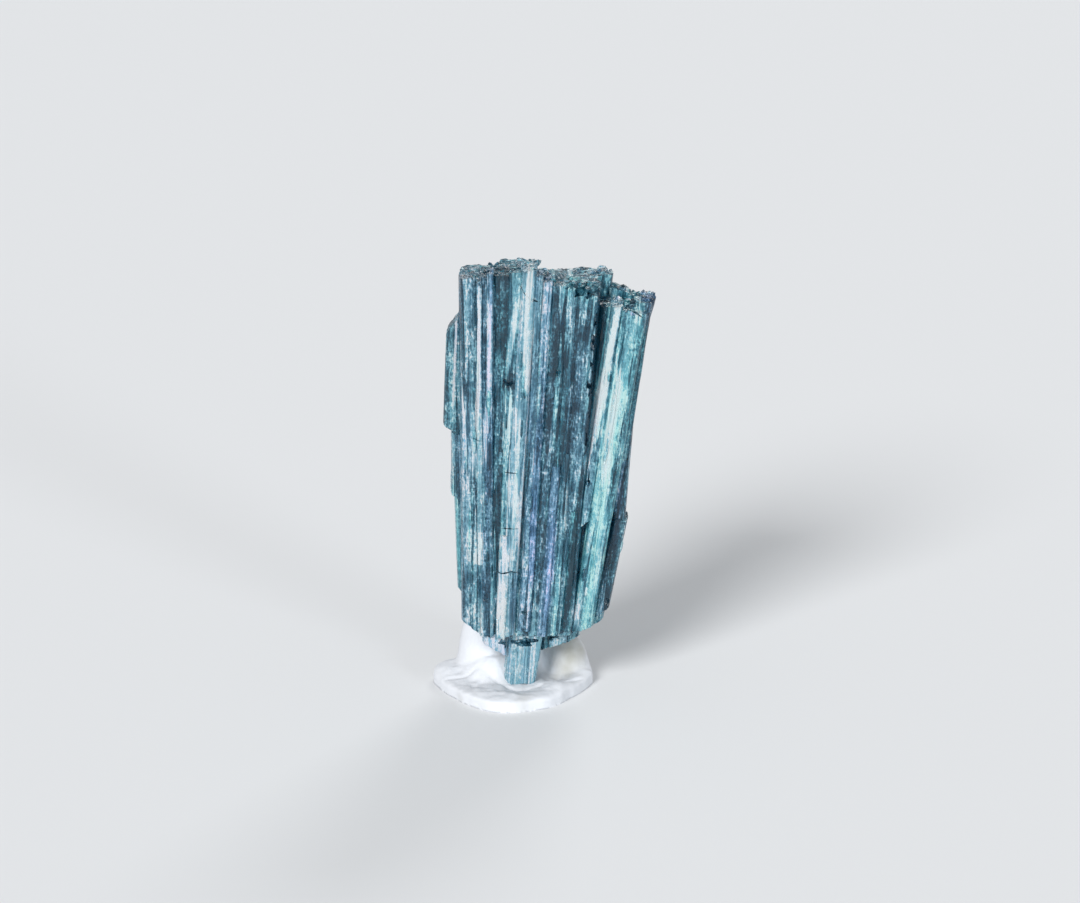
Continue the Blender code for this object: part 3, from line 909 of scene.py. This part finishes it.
def putty_material(settings):
    """Matte white putty with faint grey clouds, and grey painted as shade in its hollow right of
    the stub.
    """
    material, wire = new_material("white_putty")
    place = wire.out("ShaderNodeTexCoord", output="Object")
    clouds = wire.noise(place, CLOUDS)
    specks = wire.noise(place, SPECKS)
    inputs = {0: place, 1: HOLLOW_SHADE_PLACE}
    away = wire.out("ShaderNodeVectorMath", inputs, "Value", operation="DISTANCE")
    # painted shade: greyer towards the hollow right of the stub
    hollow_shade = (1.0 - away / HOLLOW_SHADE_REACH).at_least(0.0) * HOLLOW_SHADE_GAIN
    ends = ((SOIL_AND_SHADE_STOP, settings.soil_and_shade_colour), (CLEAN_STOP, settings.clean_colour))
    relief = specks * SPECKS.weight + clouds
    bump = {"Strength": 0.35, "Distance": 0.2 * MM, "Height": relief}
    surface = {
        "Base Color": wire.ramp(clouds - hollow_shade, *ends),
        "Roughness": specks * 0.2 + 0.65,
        "Specular IOR Level": 0.25,
        "Normal": wire.out("ShaderNodeBump", bump),
    }
    shader = wire.out("ShaderNodeBsdfPrincipled", surface)
    wire.node("ShaderNodeOutputMaterial", {"Surface": shader})
    return material


def floor_material(settings):
    material, wire = new_material("pale_floor")
    surface = {
        "Base Color": (*settings.floor_colour, 1),
        "Roughness": 0.9,
        "Specular IOR Level": 0.1,
    }
    shader = wire.out("ShaderNodeBsdfPrincipled", surface)
    wire.node("ShaderNodeOutputMaterial", {"Surface": shader})
    return material


# ------------------------------------------------------------------------------- pieces

LUMP_SIZE = 0.8
LUMP_UNEVEN = 0.5  # how far a lump's facets and bumps stand out, as a share of its size
LUMP_FACETS = 1.7  # how many facets and bumps there are for each radius
LUMP_BUMPS = 2.3
CRACK_WANDER = 0.09 * MM  # how far a crack strays from straight
CRACK_BENDS = 1.5  # bends for each millimetre
CUT_SHADE_TONE = 0.16  # how light the faces inside the cracks and pits are: dark, as painted shade in these hollows


def rough_lump(name, subdivisions, stretch, seed):
    """A ball with an uneven, broken surface, stretched by a vector."""
    bm = bmesh.new()
    bmesh.ops.create_icosphere(bm, subdivisions=subdivisions, radius=1)
    for vert in bm.verts:
        uneven = 1 + LUMP_UNEVEN * noise.cell(vert.co * LUMP_FACETS + Vector((seed, 0, 0)))
        uneven += LUMP_UNEVEN * noise.noise(vert.co * LUMP_BUMPS + Vector((0, seed, 0)))
        vert.co = vert.co * uneven * LUMP_SIZE
        vert.co = Vector(a * b for a, b in zip(vert.co, stretch))
    return object_from(bm, name)


def crack_cutter(crack, seed):
    """A thin jagged blade that reaches into the front of the cluster."""
    left, right = (Vector((end[0], 0, end[1])) * MM for end in (crack.left, crack.right))
    middle = (left + right) / 2
    rise = right - left
    stretch = (rise.length / 2, crack.depth * MM, crack.width * MM)
    blade = rough_lump("crack", 4, stretch, seed)
    tilt = math.atan2(rise.z, rise.x)
    for vert in blade.data.vertices:
        wander = noise.noise(Vector((vert.co.x / MM * CRACK_BENDS, seed, 0))) * CRACK_WANDER
        x, z = vert.co.x, vert.co.z + wander
        vert.co = middle + Vector((
            x * math.cos(tilt) - z * math.sin(tilt),
            vert.co.y + FRONT * MM,
            x * math.sin(tilt) + z * math.cos(tilt),
        ))
    return blade


def pit_cutter(pit, seed):
    lump = rough_lump("pit", 3, Vector(pit.size) * MM, seed)
    for vert in lump.data.vertices:
        vert.co += Vector(pit.place) * MM
    return lump


# The veils at the back, in millimetres: the ranges that each one's place across and up,
# its rise, its half width and its light are drawn from.
BACK_RANGES = ((-8.0, 7.0), (4.0, 30.0), (4.0, 14.0), (0.10, 0.45), (-0.25, 0.55))
BACK_VEILS = 34
BACK_SEED = 5
RAGGED_WAVES = ((0.7, 23, 0), (0.6, 41, 1.3))  # how high, radians for each millimetre, phase


def back_veils():
    """Streaks at random places, which follow the fan of the growth."""
    pick = np.random.default_rng(BACK_SEED)
    for _ in range(BACK_VEILS):
        foot, low, rise, half_width, light = (pick.uniform(*ends) for ends in BACK_RANGES)
        head = foot + rise * (foot * MM + FAN_AXIS) * FAN_LEAN
        yield Streak((foot, low), (head, low + rise), half_width, light)


def streak_share(streak, x, z):
    """1 along the middle of a streak and 0 outside it, with ragged ends."""
    rise = streak.high[1] - streak.low[1]
    share = (z - streak.low[1]) / rise
    middle = streak.low[0] + (streak.high[0] - streak.low[0]) * share
    ragged = sum(high * np.sin(x * pace + phase) for high, pace, phase in RAGGED_WAVES)
    core = np.clip(2 - 2 * abs(x - middle) / streak.half_width, 0, 1)
    return core * np.clip(np.minimum(share, 1 - share) * rise / STREAK_FADE + ragged, 0, 1)


def lay_streaks(mesh):
    """Keeps at each vertex how light its side's streaks make it, and their hue."""
    places = np.empty(len(mesh.vertices) * 3)
    mesh.vertices.foreach_get("co", places)
    x, y, z = places.reshape(-1, 3).T / MM
    front = y < DEPTH_MIDDLE / MM
    light, hue = np.zeros_like(x), np.zeros_like(x)
    # the front's streaks are partly painted highlights and painted shade; the back's are random
    # veils
    for side, streaks in ((front, STREAKS), (~front, back_veils())):
        for streak in streaks:
            core = streak_share(streak, x, z) * side
            light += core * streak.light
            hue += core * streak.hue
    for name, values in (("veils_and_painted_light", light), ("hue", hue)):
        attribute = mesh.attributes.new(name, "FLOAT", "POINT")
        attribute.data.foreach_set("value", values)


def build_crystals(settings):
    material = elbaite_material(settings)
    rod_tree = striated_rod_tree()
    rods = [
        grow_rod(rod, number, settings, rod_tree, material) for number, rod in enumerate(RODS)
    ]
    cluster = rods[0]
    cluster.name = "crystal_cluster"
    join_solids(cluster, rods[1:])
    trees = (slats_tree(), etched_grains_tree())
    join_solids(cluster, [scatter_over(cluster, tree, settings, material) for tree in trees])
    cutters = [crack_cutter(crack, number) for number, crack in enumerate(CRACKS)]
    cutters += [pit_cutter(pit, number) for number, pit in enumerate(PITS)]
    for cutter in cutters:
        cutter.data.materials.append(material)
        # the cut faces are painted dark, as shade in the cracks and pits
        tone = cutter.data.attributes.new("tone", "FLOAT", "FACE")
        tone.data.foreach_set("value", [CUT_SHADE_TONE] * len(cutter.data.polygons))
    join_solids(cluster, cutters, "DIFFERENCE")
    drop_scraps(cluster.data)
    lay_streaks(cluster.data)
    return cluster


Mound = namedtuple("Mound", "centre height radius steepness")

# The putty's lobes, ridges and hollows over its flat front, in millimetres.
MOUNDS = [Mound(*row) for row in (
    ((-5.15, 2.5), 3.9, 2.2, 12),
    ((-4.4, 0.9), 1.5, 2.2, 4),
    ((1.75, 2.9), 2.6, 1.95, 7),
    ((-2, 4), 3, 2.6, 4),
    ((-8.1, 1.5), 0.35, 1.4, 4),
    ((0.9, -0.2), -0.75, 1.25, 2),
    ((0.2, 1.6), -0.4, 1, 2),
    ((-2.1, -2.5), -0.5, 1.7, 3),
    ((-6, -2.2), -0.2, 1.3, 2),
    ((1.2, -3), 0.22, 1, 2),
)]

# The fold where the upper putty was pressed down on the lower, across its front.
FOLD = [
    (-8.6, -0.9), (-6.9, -0.9), (-5.9, -0.5), (-5, -1), (-3.7, -2.3),
    (-2.4, -3.1), (-0.8, -2.8), (0.7, -2.3), (1.9, -1.4), (3.2, -0.6),
]
FOLD_STEP = 0.10
FOLD_DEPTH = 0.13
FOLD_WIDTH = 0.20
FOLD_SOFTNESS = 0.35

Swell = namedtuple("Swell", "height fineness place")

# The putty's faint unevenness, in millimetres: how high, how many swells for each
# millimetre, and the slice of the noise that they are taken from.
SWELLS = (Swell(0.13, 0.55, 3.1), Swell(0.09, 1.7, 7.7))

PUTTY_CENTRE = Vector((-2.72, 0.3)) * MM
PUTTY_RADIUS = 6.55 * MM
PUTTY_CORNERS = 0.09  # how far the dab's three corners stand out
PUTTY_SQUASH = 0.91  # the dab's depth as a share of its width
PUTTY_THINNEST = 0.5  # in millimetres
PUTTY_COLUMNS = 224
PUTTY_RINGS = 160
EDGE_WANDER = 2.2  # how many bends its edge has, and how far they stray
EDGE_BENDS = 0.03
EDGE_FINE_BENDS = 0.012


def fold_distance(x, y):
    """How far a place is from the fold, and below zero in front of it."""
    nearest, side = math.inf, 1
    place = Vector((x, y))
    for start, end in zip(FOLD, FOLD[1:]):
        start, along = Vector(start), Vector(end) - Vector(start)
        share = min(max((place - start).dot(along) / along.length_squared, 0), 1)
        away = place - start - along * share
        if away.length < nearest:
            nearest, side = away.length, math.copysign(1, along.cross(away))
    return nearest * side


def putty_height(x, y, lip):
    x, y = x / MM, y / MM
    height = lip / MM
    for lump in MOUNDS:
        distance = math.hypot(x - lump.centre[0], y - lump.centre[1]) / lump.radius
        height += lump.height * math.exp(-(distance**lump.steepness))
    away = fold_distance(x, y)
    height += FOLD_STEP * (0.5 + 0.5 * math.tanh(away / FOLD_SOFTNESS))
    height -= FOLD_DEPTH * math.exp(-((away / FOLD_WIDTH) ** 2))
    for swell in SWELLS:
        place = Vector((x * swell.fineness, y * swell.fineness, swell.place))
        height += swell.height * noise.noise(place)
    return max(height, PUTTY_THINNEST) * MM


def build_putty(settings):
    bm = bmesh.new()
    bmesh.ops.create_uvsphere(bm, u_segments=PUTTY_COLUMNS, v_segments=PUTTY_RINGS, radius=1)
    for vert in bm.verts:
        angle = math.atan2(vert.co.y, vert.co.x)
        reach = min(math.hypot(vert.co.x, vert.co.y), 1)
        spread = PUTTY_RADIUS * math.sin(reach * math.pi / 2)
        spread *= 1 + PUTTY_CORNERS * math.cos(3 * (angle + math.pi / 2))
        wander = Vector((math.cos(angle), math.sin(angle), 0)) * EDGE_WANDER
        bends = EDGE_BENDS * noise.noise(wander)
        spread *= 1 + bends + EDGE_FINE_BENDS * noise.noise(wander * 3)
        x = PUTTY_CENTRE.x + math.cos(angle) * spread
        y = PUTTY_CENTRE.y + math.sin(angle) * spread * PUTTY_SQUASH
        rise = math.sqrt(max(vert.co.z, 0))
        vert.co = (x, y, rise * putty_height(x, y, settings.lip_height))
    putty = object_from(bm, "pressed_putty")
    putty.data.shade_smooth()
    putty.data.materials.append(putty_material(settings))
    return putty


def settle(obj, node):
    """The piece stands for that node of the frame and moves with it."""
    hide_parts(node)
    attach(obj, "root")


class ELBAITE_OT_crystals(bpy.types.Operator):
    """Grow the cluster of striated crystals"""

    bl_idname = "elbaite.crystals"
    bl_label = "Grow crystals"

    def execute(self, context):
        cluster = build_crystals(context.scene.elbaite_crystal)
        if not cluster.data.polygons:
            raise RuntimeError("the rods did not join")
        settle(cluster, "elbaite_crystal")
        return {"FINISHED"}


class ELBAITE_OT_putty(bpy.types.Operator):
    """Press the putty round the cluster's stub"""

    bl_idname = "elbaite.putty"
    bl_label = "Press putty"

    def execute(self, context):
        settle(build_putty(context.scene.elbaite_putty), "mounting_putty")
        return {"FINISHED"}


# -------------------------------------------------------------------------------- stage

FLOOR_HALF = 20.0  # half the floor's width, in metres
SENSOR_WIDTH = 36.0  # in millimetres, as the focal length is
NEAREST_SEEN = 10 * MM

# The studio's surroundings: the soft fill they give, and how they look behind the floor.
SKY_FILL = (0.38, 0.388, 0.40, 1)
SKY_SEEN = (0.757, 0.776, 0.795, 1)
COOL_WHITE = (0.93, 0.97, 1.0)


class ELBAITE_OT_stage(bpy.types.Operator):
    """Lay the pale floor and set the lights and the camera"""

    bl_idname = "elbaite.stage"
    bl_label = "Set stage"

    def execute(self, context):
        settings = context.scene.elbaite_stage
        build_floor(settings)
        build_lights()
        build_camera(settings)
        return {"FINISHED"}


def build_floor(settings):
    bm = bmesh.new()
    bmesh.ops.create_grid(bm, x_segments=1, y_segments=1, size=FLOOR_HALF)
    floor = object_from(bm, "pale_floor")
    floor.data.materials.append(floor_material(settings))
    floor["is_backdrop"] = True


def new_aimed(name, data, back):
    """A light or a camera that looks away from the direction back."""
    obj = new_object(name, data)
    obj.rotation_mode = "QUATERNION"
    obj.rotation_quaternion = (-back).to_track_quat("-Z", "Y")
    return obj


def soft_light(name, azimuth, elevation, power, spread, colour=(1, 1, 1)):
    """A broad, far softbox: its light falls evenly over the whole floor."""
    data = bpy.data.lights.new(name, "SUN")
    data.energy = power
    data.angle = math.radians(spread)
    data.color = colour
    a, e = math.radians(azimuth), math.radians(elevation)
    back = Vector((math.sin(a) * math.cos(e), -math.cos(a) * math.cos(e), math.sin(e)))
    new_aimed(name, data, back)


def build_lights():
    soft_light("key_box", azimuth=-28, elevation=30, power=3.0, spread=22)
    soft_light("low_box", azimuth=36, elevation=8, power=1.3, spread=14, colour=COOL_WHITE)
    soft_light("back_box", azimuth=160, elevation=35, power=0.8, spread=20)
    world = bpy.data.worlds.new("studio")
    world.use_nodes = True
    background = world.node_tree.nodes["Background"]
    background.inputs["Strength"].default_value = 1.0
    wire = Wiring(world.node_tree)
    seen = wire.out("ShaderNodeLightPath", output="Is Camera Ray")
    wire.feed(background.inputs["Color"], wire.mix_colours(seen, SKY_FILL, SKY_SEEN))
    bpy.context.scene.world = world
    bpy.context.scene.view_settings.view_transform = "Standard"


def build_camera(settings):
    data = bpy.data.cameras.new("camera")
    data.lens = settings.focal_length
    data.sensor_width = SENSOR_WIDTH
    data.clip_start = NEAREST_SEEN
    tilt = settings.camera_elevation
    back = Vector((0, -math.cos(tilt), math.sin(tilt)))
    up = Vector((0, math.sin(tilt), math.cos(tilt)))
    aim = Vector((settings.aim_aside, 0, 0)) + up * settings.aim_up
    camera = new_aimed("camera", data, back)
    camera.location = aim + back * (settings.view_width * data.lens / data.sensor_width)
    bpy.context.scene.camera = camera


class ELBAITE_PT_panel(bpy.types.Panel):
    """The specimen's pieces and their sizes and colours"""

    bl_idname = "ELBAITE_PT_panel"
    bl_label = "Elbaite specimen"
    bl_space_type = "VIEW_3D"
    bl_region_type = "UI"
    bl_category = "Elbaite"

    def draw(self, context):
        for operator, group, _ in PIECES:
            box = self.layout.box()
            box.operator(operator.bl_idname)
            settings = getattr(context.scene, group)
            for name in settings.__annotations__:
                box.prop(settings, name)


PIECES = (
    (ELBAITE_OT_crystals, "elbaite_crystal", CrystalSettings),
    (ELBAITE_OT_putty, "elbaite_putty", PuttySettings),
    (ELBAITE_OT_stage, "elbaite_stage", StageSettings),
)


def register():
    for operator, group, kind in PIECES:
        bpy.utils.register_class(kind)
        setattr(bpy.types.Scene, group, PointerProperty(type=kind))
        bpy.utils.register_class(operator)
    bpy.utils.register_class(ELBAITE_PT_panel)


def unregister():
    bpy.utils.unregister_class(ELBAITE_PT_panel)
    for operator, group, kind in PIECES:
        bpy.utils.unregister_class(operator)
        delattr(bpy.types.Scene, group)
        bpy.utils.unregister_class(kind)


def main():
    cad_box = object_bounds()
    register()
    bpy.ops.elbaite.crystals()
    bpy.ops.elbaite.putty()
    bpy.ops.elbaite.stage()
    sizes = {"cad": cad_box, "visual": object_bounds()}
    {name: [list(c) for c in box] for name, box in sizes.items()}


if __name__ == "__main__":
    main()
